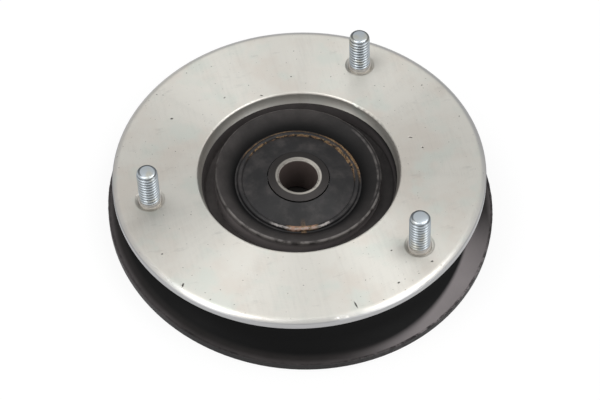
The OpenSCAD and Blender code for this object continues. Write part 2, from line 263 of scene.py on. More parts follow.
class Finish(Nodes):
    """Builds one material."""

    def __init__(self, name):
        self.material = bpy.data.materials.new(name)
        self.material.use_nodes = True
        super().__init__(self.material.node_tree)
        self.shader = self.tree.nodes["Principled BSDF"]

    def mix(self, share, first, second):
        """First colour where the share is 0 and second colour where it is 1."""
        node = self.add("ShaderNodeMix", {"data_type": "RGBA"})
        colours = [s for s in node.inputs if s.type == "RGBA"]
        self.feed(node.inputs["Factor"], share)
        self.feed(colours[0], first)
        self.feed(colours[1], second)
        return next(s for s in node.outputs if s.type == "RGBA")

    def noise(self, point, scale, detail=2.0, rough=0.5):
        node = self.add("ShaderNodeTexNoise", Vector=point, Scale=scale, Detail=detail, Roughness=rough)
        return node.outputs["Fac"]

    def ring_noise(self, radius, outward, ring_scale, turn_scale, detail=2.0):
        """Noise drawn out round the axis: fine across the rings, slow along them."""
        across = self.math("MULTIPLY", radius, ring_scale)
        along = self.add("ShaderNodeVectorMath", {"operation": "SCALE"}, Vector=outward, Scale=turn_scale)
        lifted = self.add("ShaderNodeCombineXYZ", Z=across).outputs[0]
        place = self.vector("ADD", along.outputs[0], lifted)
        return self.noise(place, 1.0, detail)

    def point(self, matrix=None):
        """Place in the mount's frame, or in the frame that a matrix gives."""
        place = self.add("ShaderNodeTexCoord").outputs["Object"]
        if matrix is None:
            return place
        node = self.add("ShaderNodeMapping", {"vector_type": "TEXTURE"}, Vector=place)
        node.inputs["Location"].default_value = matrix.translation
        node.inputs["Rotation"].default_value = matrix.to_euler()
        return node.outputs["Vector"]

    def polar(self, point):
        """Radius and height of a place, and the unit vector that points to it from the axis."""
        parts = self.add("ShaderNodeSeparateXYZ", Vector=point).outputs
        flat = self.add("ShaderNodeCombineXYZ", X=parts["X"], Y=parts["Y"]).outputs[0]
        radius = self.vector("LENGTH", flat, out=1)
        return radius, parts["Z"], self.vector("NORMALIZE", flat)

    def towards(self, outward, direction, low, high):
        """1 on the side of a direction and 0 away from it; low and high are cosines of the turn to it."""
        return self.ramp(self.vector("DOT_PRODUCT", outward, direction, out=1), low, high)

    def rise(self):
        """Upward part of the face's normal: 1 on a level face, 0 on a wall and -1 on an underside."""
        normal = self.add("ShaderNodeNewGeometry").outputs["Normal"]
        return self.add("ShaderNodeSeparateXYZ", Vector=normal).outputs["Z"]

    def bump(self, height, distance, below=None):
        """Normal of a relief, on top of the relief below it if one is given."""
        node = self.add("ShaderNodeBump", Height=height, Distance=distance)
        if below is not None:
            self.feed(node.inputs["Normal"], below)
        return node.outputs["Normal"]

    def surface(self, **inputs):
        """Sets the shader's inputs and gives the finished material."""
        for name, value in inputs.items():
            self.feed(self.shader.inputs[name.replace("_", " ")], value)
        return self.material


# Depth of the fine grain in bare and in plated steel
GRAIN_DEPTH = 0.004 * MM
# Marks in the plate's top face, in its own frame: name, x and y, half length and half width in millimetres,
# and turn in degrees
PLATE_MARKS = (
    ("pit", -53.5, -41.9, 1.3, 0.55, 60),
    ("short scratch", 5.8, -66.1, 2.3, 0.4, 100),
    ("front dot", 37.7, -53.9, 0.7, 0.5, 0),
    ("front speck", 23.4, -60.3, 0.7, 0.5, 30),
    ("stud speck", 24.5, -45.4, 0.5, 0.4, 0),
    ("right dot", 48.3, -0.7, 0.55, 0.5, 0),
    ("right dash", 45.1, 5.2, 1.1, 0.35, -25),
    ("back speck", -19.8, 42.4, 0.6, 0.4, 20),
    ("left speck", -41.8, 37.1, 0.8, 0.6, 0),
    ("low speck", -58.1, -26.1, 0.6, 0.4, 0),
    ("hole speck", -5.6, 39.9, 0.9, 0.35, -30),
    ("far speck", 7.7, 46.5, 0.4, 0.4, 0),
)
# Share of a mark's half size within which it is fully dark, and the depth of the marks
MARK_CORE = 0.3
MARK_DEPTH = 0.12 * MM
# Darkness of the fine specks between the marks
SPECK_DARK = 0.7
# Scales of the smears and of the finer wiped streaks along the plate's own axes
SMEAR_SCALE = (90, 260, 90)
WIPE_SCALE = (900, 60, 60)
# Heights from the plate's top face between which marks, dirt and painted shade round the stud feet come in,
# and between which the painted shade of the cut edge does
TOP_Z = (-0.6 * MM, -0.2 * MM)
EDGE_Z = (-0.35 * MM, -0.9 * MM)
# Radii of the plate's hole, of the start of its rolled edge and of its cut edge
HOLE_R = 38.5 * MM
ROLL_R = 68.6 * MM
EDGE_R = 70.0 * MM
# Widths over which the finish changes on the hole's lip, beside the hole and at the edge
LIP_FADE = 0.6 * MM
HOLE_FADE = 0.8 * MM
EDGE_FADE = 1.0 * MM
# Side on which the painted shade on the rolled edge is darkest, and how smooth the edge is beside the flat
# face
SHADED_EDGE_SIDE = heading(45)
ROLL_SMOOTH = 0.74
# Roughness of the hole's lip, and the side and darkness of the painted shade on it
LIP_ROUGH = 0.43
LIP_SHADE_SIDE = heading(-5)
LIP_SHADE = 0.45
# Radius of a stud's foot and of the dirt and painted shade round it, and the side on which the painted shade
# is darkest
FOOT_R = 4.6 * MM
FOOT_DARK_R = 6.2 * MM
FOOT_SHADE_SIDE = heading(-125)


def mark_mask(finish, point, x, y, half_l, half_w, turn):
    """1 inside one oval mark on the plate and 0 outside it."""
    away = finish.vector("SUBTRACT", point, (x * MM, y * MM, 0))
    node = finish.add("ShaderNodeVectorRotate", {"rotation_type": "Z_AXIS"}, Vector=away)
    node.inputs["Angle"].default_value = -math.radians(turn)
    oval = finish.vector("MULTIPLY", node.outputs[0], (1 / (half_l * MM), 1 / (half_w * MM), 0))
    return finish.ramp(finish.vector("LENGTH", oval, out=1), 1.0, MARK_CORE)


def plate_marks(finish, point, top):
    """Pits and scratches of the plate, and fine specks all over its top face."""
    specks = finish.ramp(finish.noise(point, scale=900), 0.70, 0.76)
    marks = finish.product(specks, SPECK_DARK)
    for _, *shape in PLATE_MARKS:
        marks = finish.highest(marks, mark_mask(finish, point, *shape))
    return finish.product(marks, top)


def foot_dirt_and_shade(finish, point, marks, top, patch):
    """The marks with the dirt and painted shade round the stud feet added to them."""
    dark = marks
    for name in STUD_MOUNTS:
        foot = PLATE.inverted() @ Vector(MOUNTS[name]["pos_m"])
        away, _, outward = finish.polar(finish.vector("SUBTRACT", point, foot))
        # Dirt round the foot, darkest on one side as painted shade
        side = finish.towards(outward, FOOT_SHADE_SIDE, -0.3, 0.8)
        dirt_and_shade = finish.product(finish.ramp(away, FOOT_DARK_R, FOOT_R), finish.spread(patch, 0.5, 1.0),
                              finish.spread(side, 0.15, 0.8), top)
        dark = finish.highest(dark, dirt_and_shade)
    return dark


def plate_tone(finish, colours, point, rings, rays, patch):
    """Steel with faint stains, smears and the streaks that brushing and wiping leave."""
    stain = finish.noise(point, scale=34, detail=4, rough=0.6)
    smear = finish.noise(finish.vector("MULTIPLY", point, SMEAR_SCALE), scale=1, detail=5, rough=0.65)
    wipe = finish.noise(finish.vector("MULTIPLY", point, WIPE_SCALE), scale=1, detail=3, rough=0.6)
    colour = finish.mix(finish.ramp(stain, 0.42, 0.62), colours.steel, colours.steel_warm)
    colour = finish.mix(finish.ramp(patch, 0.5, 0.68), colour, colours.steel_cool)
    soil = finish.spread(finish.ramp(smear, 0.58, 0.76), 1.0, 0.84)
    brushed = finish.product(finish.spread(wipe, 0.92, 1.08), finish.spread(rays, 0.9, 1.1))
    clean = finish.product(soil, finish.spread(rings, 0.95, 1.05), brushed)
    return finish.mix(finish.math("SUBTRACT", 1.0, clean), colour, colours.pit)


def plate_edges(finish, colours, colour, radius, height, outward):
    """The plate's tone with painted shade on its rolled and cut edge and on one side of the hole's lip."""
    # Painted shade on the cut edge all round and on the rolled edge, most on one side
    cut = finish.product(finish.ramp(height, *EDGE_Z), finish.ramp(radius, EDGE_R - EDGE_FADE, EDGE_R))
    shaded = finish.spread(finish.towards(outward, SHADED_EDGE_SIDE, 0.2, 0.8), 0.35, 0.8)
    rolled = finish.product(finish.ramp(radius, ROLL_R, EDGE_R), shaded)
    colour = finish.mix(finish.highest(cut, rolled), colour, colours.steel_edge_shade)
    # Painted shade on one side of the hole's lip
    lip = finish.product(finish.ramp(radius, HOLE_R, HOLE_R - LIP_FADE),
                         finish.towards(outward, LIP_SHADE_SIDE, 0.6, 0.95), LIP_SHADE)
    return finish.mix(lip, colour, colours.pit)


def plate_steel(colours):
    """Bare pressed steel: fine rings, faint stains, pits and scratches, painted shade on the edges and the
    lip, and dirt with painted shade at the stud feet.
    """
    finish = Finish("plate_steel")
    point = finish.point(PLATE)
    radius, height, outward = finish.polar(point)
    rings = finish.ring_noise(radius, outward, ring_scale=2600, turn_scale=9, detail=3)
    fans = finish.ring_noise(radius, outward, ring_scale=30, turn_scale=7, detail=3)
    rays = finish.ring_noise(radius, outward, ring_scale=8, turn_scale=11, detail=3)
    patch = finish.noise(point, scale=60, detail=3, rough=0.55)
    top = finish.ramp(height, *TOP_Z)
    marks = plate_marks(finish, point, top)
    colour = plate_tone(finish, colours, point, rings, rays, patch)
    colour = plate_edges(finish, colours, colour, radius, height, outward)
    # Marks, and dirt with painted shade round the stud feet, in the pits' dark colour
    colour = finish.mix(foot_dirt_and_shade(finish, point, marks, top, patch), colour, colours.pit)
    flat = finish.ramp(radius, HOLE_R, HOLE_R + HOLE_FADE)
    grained = finish.math("ADD", finish.spread(fans, 0.42, 0.50), finish.product(rings, 0.06))
    rough = finish.math("ADD", finish.product(grained, flat), finish.spread(flat, LIP_ROUGH, 0.0))
    rolled = finish.ramp(radius, ROLL_R, ROLL_R + EDGE_FADE)
    rough = finish.product(rough, finish.spread(rolled, 1.0, ROLL_SMOOTH))
    relief = finish.bump(finish.product(marks, -1.0), MARK_DEPTH)
    relief = finish.bump(rings, GRAIN_DEPTH, relief)
    tangent = finish.add("ShaderNodeTangent", {"direction_type": "RADIAL", "axis": "Z"})
    return finish.surface(
        Base_Color=colour, Metallic=1.0, Roughness=rough, Anisotropic=0.68, Anisotropic_Rotation=0.25,
        Tangent=tangent.outputs[0], Normal=relief)


# Name of the mesh layer that tells how deep in the thread a point of a stud is
ROOT_LAYER = "root"
# Darkness of the dirt and painted shade in the thread's roots
ROOT_DARK = 0.75
# Heights above the plate between which a stud's warmer foot comes in
STUD_FOOT_Z = (2.2 * MM, 0.7 * MM)


def stud_zinc(colours):
    """Bright zinc with a faint yellow tint, a warmer foot, and dirt with painted shade in the thread's roots.
    """
    finish = Finish("stud_zinc")
    point = finish.point()
    cloud = finish.noise(point, scale=160, detail=3)
    fine = finish.noise(point, scale=2200, detail=3)
    height = finish.polar(finish.point(PLATE))[1]
    root = finish.add("ShaderNodeAttribute", {"attribute_name": ROOT_LAYER}).outputs["Fac"]
    colour = finish.mix(finish.ramp(cloud, 0.48, 0.72), colours.zinc, colours.zinc_yellow)
    colour = finish.mix(finish.ramp(height, *STUD_FOOT_Z), colour, colours.zinc_foot)
    # Dirt and painted shade in the thread's roots and on the shoulder
    colour = finish.mix(finish.product(finish.ramp(root, 0.1, 0.7), ROOT_DARK), colour, colours.zinc_dark)
    rough = finish.spread(fine, 0.27, 0.37)
    relief = finish.bump(fine, GRAIN_DEPTH)
    return finish.surface(
        Base_Color=colour, Metallic=1.0, Roughness=rough, Specular_Tint=(0.1, 0.1, 0.1), Normal=relief)


# Radius of the well round the hub, and the widths over which its finish ends inside and outside it
WELL_R = 38.5 * MM
WELL_FADE = 1.0 * MM
OUTSIDE_FADE = 2.0 * MM
# Height below which the well outside the ledge gets dust with painted fill light, and the height over which
# they come in
WELL_Z = 16.0 * MM
WELL_DUST_AND_FILL_H = 3.0 * MM
# Foot of the bell mouth that leads down to the bearing, and the height over which dust with painted fill
# light thickens above it
BELL_Z = 15.5 * MM
BELL_DUST_AND_FILL_H = 4.5 * MM
# Painted highlight lines on the ledge in the well: radii at its edge and inside it, half their width, and the
# height that they lie above
LEDGE_LINE_R = 31.45 * MM
INNER_LINE_R = 30.2 * MM
LEDGE_LINE_W = 0.55 * MM
LEDGE_LINE_Z = 17.5 * MM
LEDGE_LINE_H = 0.4 * MM
LEDGE_FADE = 1.0 * MM
# Radii on the rim between which dust and painted sheen come in, and between which nicks do
RIM_DUST_AND_SHEEN_R = (RIM_R - 2.8 * MM, RIM_R - 0.6 * MM)
NICK_R = (RIM_R - 1.0 * MM, RIM_R - 0.5 * MM)
# Share of the bloom, painted sheen and painted fill that a nick leaves
NICK_LEAVES = 0.3
# Side of the rubber with the strongest painted sheen, which stands in for a lamp's reflection in the groove,
# the side on which it climbs the groove, and by how much
SHEEN_SIDE = heading(-55)
CLIMB_SIDE = heading(-15)
SHEEN_CLIMB = 0.23
# Side of the rim with the most nicks, and the one with the least dust and painted sheen
NICK_SIDE = heading(-45)
DIM_RIM_SIDE = heading(-115)
# Right side of the well, with the least dust and painted fill light and the inner painted highlight line, and
# the front side, where the painted highlight on the ledge's edge and the painted fill on the walls are
# strongest
RIGHT_WELL_SIDE = heading(0)
FRONT_SIDE = heading(-95)
# Depth of the grain in the rubber
RUBBER_DEPTH = 0.03 * MM


def groove_painted_sheen(finish, outward, rise, cloud):
    """Painted sheen on one side of the groove, where its wall turns level: grey colour in place of a lamp's
    reflection.
    """
    side = finish.towards(outward, SHEEN_SIDE, 0.75, 1.0)
    facing = finish.vector("DOT_PRODUCT", outward, CLIMB_SIDE, out=1)
    climb = finish.math("POWER", finish.highest(facing, 0.0), 4.0)
    level = finish.math("ADD", rise, finish.product(climb, SHEEN_CLIMB))
    return finish.product(side, finish.ramp(level, 0.965, 1.04), finish.spread(cloud, 0.8, 1.1))


def rim_dust_and_sheen(finish, rim_radius, outward, rise, cloud):
    """Dust and painted sheen on the rim, thinner on one side of it and on its outer wall."""
    clean = finish.towards(outward, DIM_RIM_SIDE, 0.8, 0.97)
    level = finish.ramp(rise, 0.3, 0.8)
    return finish.product(finish.ramp(rim_radius, *RIM_DUST_AND_SHEEN_R), finish.spread(cloud, 0.12, 0.4),
                          finish.spread(clean, 1.0, 0.5), finish.spread(level, 0.4, 1.0))


def rim_nicks(finish, point, rim_radius, outward):
    """Nicks along the rim's outer corner."""
    return finish.product(finish.ramp(rim_radius, *NICK_R),
                          finish.ramp(finish.noise(point, scale=420, detail=4, rough=0.65), 0.44, 0.58),
                          finish.towards(outward, NICK_SIDE, 0.45, 0.8))


def well_dust_and_fill(finish, point, hub, rise, front):
    """Dust in the well with painted fill light that lifts its shade, thinner on one side as painted shade,
    and a lighter grey of dust and painted fill on the lower part of its walls.
    """
    radius, height, outward = hub
    well = finish.product(finish.ramp(radius, WELL_R + WELL_FADE, WELL_R - WELL_FADE),
                          finish.ramp(rise, -0.4, -0.1))
    low = finish.product(finish.ramp(height, WELL_Z + WELL_DUST_AND_FILL_H, WELL_Z),
                         finish.ramp(radius, LEDGE_LINE_R - LEDGE_FADE, LEDGE_LINE_R))
    high = finish.ramp(height, BELL_Z, BELL_Z + BELL_DUST_AND_FILL_H)
    clean = finish.towards(outward, RIGHT_WELL_SIDE, 0.3, 0.9)
    settled_and_fill = finish.product(well, finish.spread(clean, 1.0, 0.4),
                             finish.highest(finish.product(low, 0.8), finish.product(high, 0.5)),
                             finish.spread(finish.noise(point, scale=160, detail=4, rough=0.65), 0.3, 1.6))
    # Lighter grey on the lower walls, strongest on the front side: dust with painted fill light
    wall = finish.product(well, finish.ramp(rise, 0.5, 0.1), low, finish.spread(front, 0.2, 0.6))
    return settled_and_fill, wall


def painted_ledge_highlights(finish, colours, colour, point, hub, front):
    """The rubber's colour with broken pale lines painted along the ledge's edge as highlights."""
    radius, height, outward = hub
    right = finish.towards(outward, RIGHT_WELL_SIDE, 0.75, 0.95)
    broken = finish.ramp(finish.noise(point, scale=300, detail=3), 0.3, 0.6)
    above = finish.ramp(height, LEDGE_LINE_Z, LEDGE_LINE_Z + LEDGE_LINE_H)
    edge_share = finish.spread(front, 0.12, 0.42)
    inner_share = finish.product(right, 0.22)
    for line_r, share in ((LEDGE_LINE_R, edge_share), (INNER_LINE_R, inner_share)):
        near = finish.ramp(finish.apart(radius, line_r), LEDGE_LINE_W, 0.3 * LEDGE_LINE_W)
        colour = finish.mix(finish.product(near, above, broken, share), colour, colours.wear_and_highlight)
    return colour


def rubber_black(colours):
    """Moulded black rubber: painted sheen on one side of the groove, dust and painted fill light in the well,
    a nicked rim with dust and painted sheen, painted highlight lines on the ledge.
    """
    finish = Finish("rubber")
    point = finish.point()
    hub = finish.polar(finish.point(HUB))
    radius, _, outward = hub
    rim_radius = finish.polar(point)[0]
    rise = finish.rise()
    cloud = finish.noise(point, scale=70, detail=4, rough=0.6)
    fine = finish.noise(point, scale=1500, detail=3)
    front = finish.towards(outward, FRONT_SIDE, 0.1, 0.6)
    outside = finish.ramp(radius, WELL_R, WELL_R + OUTSIDE_FADE)
    swept = finish.product(outside, finish.ramp(rise, 0.94, 1.0), finish.spread(cloud, 0.15, 0.45))
    # Dust in the well with painted fill light lifting the shade of its recesses
    settled_and_fill, wall = well_dust_and_fill(finish, point, hub, rise, front)
    # Painted sheen on one side of the groove, standing in for a lamp's reflection
    bloom_sheen_and_fill = finish.product(outside, groove_painted_sheen(finish, outward, rise, cloud))
    # Painted sheen on the groove, dust with painted sheen on the rim, and dust with painted fill on the
    # well's walls
    painted_light_and_film = finish.highest(bloom_sheen_and_fill, rim_dust_and_sheen(finish, rim_radius, outward, rise, cloud), wall)
    nicks = rim_nicks(finish, point, rim_radius, outward)
    painted_light_and_film = finish.product(painted_light_and_film, finish.spread(nicks, 1.0, NICK_LEAVES))
    colour = finish.mix(finish.highest(settled_and_fill, swept), colours.rubber, colours.dust_and_fill)
    colour = finish.mix(painted_light_and_film, colour, colours.bloom_sheen_and_fill)
    # Painted highlight lines along the ledge's edge
    colour = painted_ledge_highlights(finish, colours, colour, point, hub, front)
    rough = finish.math("ADD", finish.spread(cloud, 0.36, 0.5), finish.product(fine, 0.1))
    relief = finish.bump(fine, RUBBER_DEPTH)
    return finish.surface(Base_Color=colour, Roughness=rough, Specular_IOR_Level=0.12, Normal=relief)


# Width of the bead round the shield, and the radius of its middle
BEAD_W = 2.2 * MM
BEAD_R = SHIELD_R - BEAD_W / 2
# Height above which the hub rusts, and the height over which the rust comes in
RUST_Z = 13.0 * MM
RUST_FADE = 1.0 * MM
# Middles of the rust along the back of the bead, of its thickest stretch and of the patch at the front
RUST_BACK = heading(65)
RUST_THICK = heading(25)
RUST_FRONT = heading(-99)
# Rust lines on the bead's outer and inner flank: distance from its middle and half width
OUTER_RUST = (1.1 * MM, 0.55 * MM)
INNER_RUST = (-0.9 * MM, 0.35 * MM)
# How far the rust wanders across the bead, and how much wider it is where it is thickest
RUST_WANDER = 1.3 * MM
RUST_EXTRA = 0.25 * MM
# Distances from the bead's middle between which the front patch comes in
PATCH_W = (1.15 * MM, 0.8 * MM)
# Middle of the bare stretch of the bead, pale metal with a painted highlight, and where its inner and its
# outer border come in across the bead
BARE_GLINT_FRONT = heading(-100)
BARE_GLINT_INNER = (-0.2 * MM, 0.3 * MM)
BARE_GLINT_OUTER = (1.0 * MM, 0.7 * MM)
# Streak of rust that runs from the bead on to the shield, and the radius at which it ends
STREAK = heading(-98)
STREAK_R = 17.5 * MM
STREAK_SHARE = 0.6
# Depth of the rust's crust and of the grain in the black steel
RUST_DEPTH = 0.2 * MM
BLACK_DEPTH = 0.015 * MM


def bead_rust(finish, colours, point, colour, rough, relief):
    """Colour, roughness and relief with the rust on the shield's bead, and its bare stretch with a painted
    highlight, added.
    """
    radius, height, outward = finish.polar(point)
    ragged = finish.noise(point, scale=300, detail=4, rough=0.7)
    blotch = finish.noise(point, scale=420, detail=3, rough=0.6)
    grit = finish.noise(point, scale=1600, detail=3, rough=0.6)
    across = finish.math("SUBTRACT", radius, BEAD_R)
    across = finish.math("ADD", across, finish.product(finish.math("SUBTRACT", ragged, 0.5), RUST_WANDER))
    extra = finish.product(finish.towards(outward, RUST_THICK, 0.85, 0.98), RUST_EXTRA)
    above = finish.ramp(height, RUST_Z - RUST_FADE, RUST_Z)

    def line(offset, half):
        return finish.ramp(finish.math("SUBTRACT", finish.apart(across, offset), extra), half, 0.4 * half)

    inner = finish.product(line(*INNER_RUST), finish.ramp(blotch, 0.42, 0.56))
    back = finish.product(finish.highest(line(*OUTER_RUST), inner),
                          finish.towards(outward, RUST_BACK, 0.15, 0.45), finish.ramp(blotch, 0.26, 0.42))
    streak = finish.product(finish.towards(outward, STREAK, 0.9985, 0.9998),
                            finish.ramp(radius, STREAK_R, SHIELD_R), STREAK_SHARE)
    patch = finish.product(finish.ramp(finish.math("ABSOLUTE", across), *PATCH_W),
                           finish.towards(outward, RUST_FRONT, 0.955, 0.985), above)
    rust = finish.highest(finish.product(finish.highest(back, streak), above), patch)
    # Bare stretch at the front of the bead: pale metal bared by wear, with a painted highlight
    bare = finish.product(finish.ramp(across, *BARE_GLINT_INNER), finish.ramp(across, *BARE_GLINT_OUTER),
                          finish.towards(outward, BARE_GLINT_FRONT, 0.84, 0.92),
                          finish.ramp(blotch, 0.36, 0.5), above)
    thin = finish.product(patch, finish.ramp(blotch, 0.4, 0.6), 0.8)
    tone = finish.mix(finish.ramp(grit, 0.35, 0.65), colours.rust_dark, colours.rust)
    colour = finish.mix(rust, colour, tone)
    colour = finish.mix(bare, colour, colours.wear_and_highlight)
    colour = finish.mix(thin, colour, colours.rust_thin)
    rough = finish.math("ADD", rough, finish.product(rust, 0.4))
    relief = finish.bump(finish.product(rust, grit), RUST_DEPTH, relief)
    return colour, rough, relief


def black_steel(colours, name, rusty):
    """Blackened pressed steel with dust on what faces up; if rusty, with rust on the shield's bead."""
    finish = Finish(name)
    point = finish.point(HUB)
    cloud = finish.noise(point, scale=80, detail=4, rough=0.6)
    fine = finish.noise(point, scale=1300, detail=3)
    smudge = finish.noise(point, scale=170, detail=4, rough=0.65)
    dusty = finish.product(finish.ramp(finish.rise(), 0.2, 0.95), finish.spread(cloud, 0.0, 0.8),
                           finish.ramp(smudge, 0.38, 0.8))
    colour = finish.mix(dusty, colours.black, colours.dust_and_fill)
    rough = finish.spread(cloud, 0.34, 0.5)
    relief = finish.bump(fine, BLACK_DEPTH)
    if rusty:
        colour, rough, relief = bead_rust(finish, colours, point, colour, rough, relief)
    return finish.surface(Base_Color=colour, Roughness=rough, Specular_IOR_Level=0.25, Normal=relief)


def bearing_steel(colours):
    """Ground steel of the bearing with an oily film."""
    finish = Finish("bearing_steel")
    point = finish.point(HUB)
    radius, _, outward = finish.polar(point)
    rings = finish.ring_noise(radius, outward, ring_scale=4000, turn_scale=6)
    cloud = finish.noise(point, scale=120, detail=3)
    colour = finish.mix(finish.ramp(cloud, 0.45, 0.75), colours.bearing, colours.sleeve)
    return finish.surface(Base_Color=colour, Metallic=1.0, Roughness=finish.spread(rings, 0.18, 0.34))


# Radius of the sleeve's bore, and where its finish ends outside it
BORE_R = MOUNTS["rod_bore"]["dims"]["r_mm"] * MM
BORE_FADE = (BORE_R + 0.3 * MM, BORE_R + 0.1 * MM)
# Bright ring of steel round the bore's mouth, bared by wear: the radii and the heights between which it comes
# in
BRIGHT_R = (9.0 * MM, 8.6 * MM)
BRIGHT_Z = (SLEEVE_TOP - 1.2 * MM, SLEEVE_TOP - 0.5 * MM)
# Side on which the painted highlight on the sleeve's mouth is strongest
GLINT_SIDE = heading(-15)


def sleeve_steel(colours):
    """Turned steel, dark in the bore and on the collar, bright from wear round the bore's mouth with a
    painted highlight on one side.
    """
    finish = Finish("sleeve_steel")
    point = finish.point(HUB)
    radius, height, outward = finish.polar(point)
    rings = finish.ring_noise(radius, outward, ring_scale=5000, turn_scale=5)
    cloud = finish.noise(point, scale=260, detail=4, rough=0.6)
    side = finish.towards(outward, GLINT_SIDE, -0.6, 0.9)
    mouth = finish.product(finish.ramp(radius, *BRIGHT_R), finish.ramp(height, *BRIGHT_Z))
    # Steel bared by wear round the mouth, brighter on one side as a painted highlight
    bright_and_glint = finish.product(mouth, finish.ramp(cloud, 0.85, 0.5), finish.spread(side, 0.6, 1.0))
    inside = finish.ramp(radius, *BORE_FADE)
    colour = finish.mix(inside, colours.sleeve_dark, colours.bore)
    colour = finish.mix(bright_and_glint, colour, colours.sleeve)
    rough = finish.spread(rings, 0.38, 0.52)
    return finish.surface(Base_Color=colour, Metallic=finish.spread(inside, 1.0, 0.1), Roughness=rough)


def dress(node, material):
    """Gives a frame piece its finish."""
    slots = frame["nodes"][node].data.materials
    slots.clear()
    slots.append(material)


def new_piece(name, mesh, body, material):
    """Adds a mesh as a piece that rides on a body."""
    piece = bpy.data.objects.new(name, mesh)
    bpy.context.scene.collection.objects.link(piece)
    mesh.materials.append(material)
    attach(piece, body)
    return piece


def clamped(value, low=0.0):
    """A value, kept between a least one and 1."""
    return min(max(value, low), 1.0)


def lathe_rings(work, matrix, rings, steps):
    """Skins a stack of rings and closes its ends; a ring gives radius, height and root share at a turn."""
    layers = work.verts.layers.float
    layer = layers.get(ROOT_LAYER) or layers.new(ROOT_LAYER)
    turns = [math.tau * i / steps for i in range(steps)]
    rows = []
    for ring in rings:
        row = []
        for turn in turns:
            radius, height, root = ring(turn)
            vert = work.verts.new(matrix @ Vector((radius * math.cos(turn), radius * math.sin(turn), height)))
            vert[layer] = root
            row.append(vert)
        rows.append(row)
    for below, above in zip(rows, rows[1:]):
        for i in range(steps):
            j = (i + 1) % steps
            work.faces.new((below[i], below[j], above[j], above[i]))
    work.faces.new(list(reversed(rows[0])))
    work.faces.new(rows[-1])


# Half width of the thread's crest and width of its flank, as shares of half a turn
CREST_SHARE = 0.12
FLANK_SHARE = 0.7
# Turns in which the thread runs in to its full depth above the shoulder
RUN_IN_TURNS = 1.2
# How far below the end of the full thread the rounded tip starts
TIP_LEAD = 0.7 * MM
# Bevel of a stud's head and shoulder
STUD_BEVEL = 0.2 * MM
# Dirt and painted shade on a stud's shoulder, as a share of that in the thread's roots
SHOULDER_DARK = 0.1
# Rings of the domed face of a stud's tip, as shares of its radius
DOME_RINGS = (0.9, 0.75, 0.6, 0.45, 0.3, 0.15)
# Turn between two faces of a stud above which their edge stays sharp
SHARP_TURN = math.radians(50)


def thread_share(turns):
    """Depth share of the thread at a place along it, in turns: 0 on the crest and 1 in the root."""
    slope = abs(2 * (turns % 1.0) - 1)
    return clamped((slope - CREST_SHARE) / FLANK_SHARE)


def stud_rings(sizes, radius, length):
    """Rings of one stud from its head to its tip, with the plate's face at z = 0."""
    shoulder_r = radius + sizes.shoulder_w
    head_z = -sizes.plate_t - sizes.head_t
    top = sizes.shoulder_h + length + sizes.tip_h
    tip_from = sizes.shoulder_h + length - TIP_LEAD

    def plain(ring_radius, height, root=0.0):
        return lambda turn: (ring_radius, height, root)

    def threaded(height):
        def ring(turn):
            run_in = clamped((height - sizes.shoulder_h) / (RUN_IN_TURNS * sizes.thread_pitch))
            share = run_in * thread_share(height / sizes.thread_pitch - turn / math.tau)
            rise = clamped((height - tip_from) / (top - tip_from))
            limit = radius - sizes.tip_inset * (1 - math.sqrt(1 - rise * rise))
            return min(radius - sizes.thread_depth * share, limit), height, share
        return ring

    rings = [
        plain(sizes.head_r - STUD_BEVEL, head_z),
        plain(sizes.head_r, head_z + STUD_BEVEL),
        plain(sizes.head_r, -sizes.plate_t),
        plain(shoulder_r, -sizes.plate_t),
        plain(shoulder_r, sizes.shoulder_h - 2 * STUD_BEVEL, SHOULDER_DARK),
        plain(shoulder_r - STUD_BEVEL, sizes.shoulder_h, SHOULDER_DARK),
    ]
    count = int(length / sizes.thread_pitch * sizes.pitch_steps)
    rings += [threaded(sizes.shoulder_h + length * (i + 0.5) / count) for i in range(count)]
    tip_count = int(sizes.tip_h / sizes.thread_pitch * sizes.pitch_steps)
    rings += [threaded(top - sizes.tip_h * (1 - (i + 1) / tip_count)) for i in range(tip_count)]
    face_r = radius - sizes.tip_inset
    rings += [plain(face_r * share, top + sizes.tip_dome * (1 - share * share)) for share in DOME_RINGS]
    return rings


# Steps round the flash
FLASH_STEPS = 1440
# Waves of the flash's torn edge: scale of the noise round the rim, its shift, and its share of the width
FLASH_WAVES = ((40, 0, 0.5), (110, 0, 0.3), (9, 5, 0.3))
# Mean and least reach of the flash, as shares of its width
FLASH_MEAN = 0.45
FLASH_LEAST = 0.06
# How far the flash's foot reaches in on the rim's top, how far in its crest is, and its lift off the rubber
FLASH_FOOT = 0.9 * MM
FLASH_CREST = 0.1 * MM
FLASH_LIFT = 0.01 * MM


def flash_share(place):
    """Reach of the torn flash in a direction, as a share of its width."""
    share = FLASH_MEAN
    for scale, shift, amount in FLASH_WAVES:
        share += amount * noise.noise(place * scale + Vector((0, 0, shift)))
    return clamped(share, FLASH_LEAST)


def flash_mesh(sizes):
    """Ragged moulding flash along the top corner of the rubber rim."""
    work = bmesh.new()
    rows = []
    for i in range(FLASH_STEPS):
        turn = math.tau * i / FLASH_STEPS
        place = Vector((math.cos(turn), math.sin(turn), 0))
        reach = sizes.flash_w * flash_share(place)
        corners = (
            (RIM_R - FLASH_FOOT, sizes.rim_h + FLASH_LIFT),
            (RIM_R - FLASH_CREST, sizes.rim_h + reach),
            (RIM_R + 0.4 * reach, sizes.rim_h + 0.3 * reach),
            (RIM_R + FLASH_LIFT, sizes.rim_h - 0.5 * reach),
        )
        rows.append([work.verts.new(place * r + Vector((0, 0, z))) for r, z in corners])
    for row, ahead in zip(rows, rows[1:] + rows[:1]):
        for j in range(len(row)):
            k = (j + 1) % len(row)
            work.faces.new((row[j], row[k], ahead[k], ahead[j]))
    bmesh.ops.recalc_face_normals(work, faces=work.faces)
    mesh = bpy.data.meshes.new("rim_flash")
    work.to_mesh(mesh)
    work.free()
    return mesh


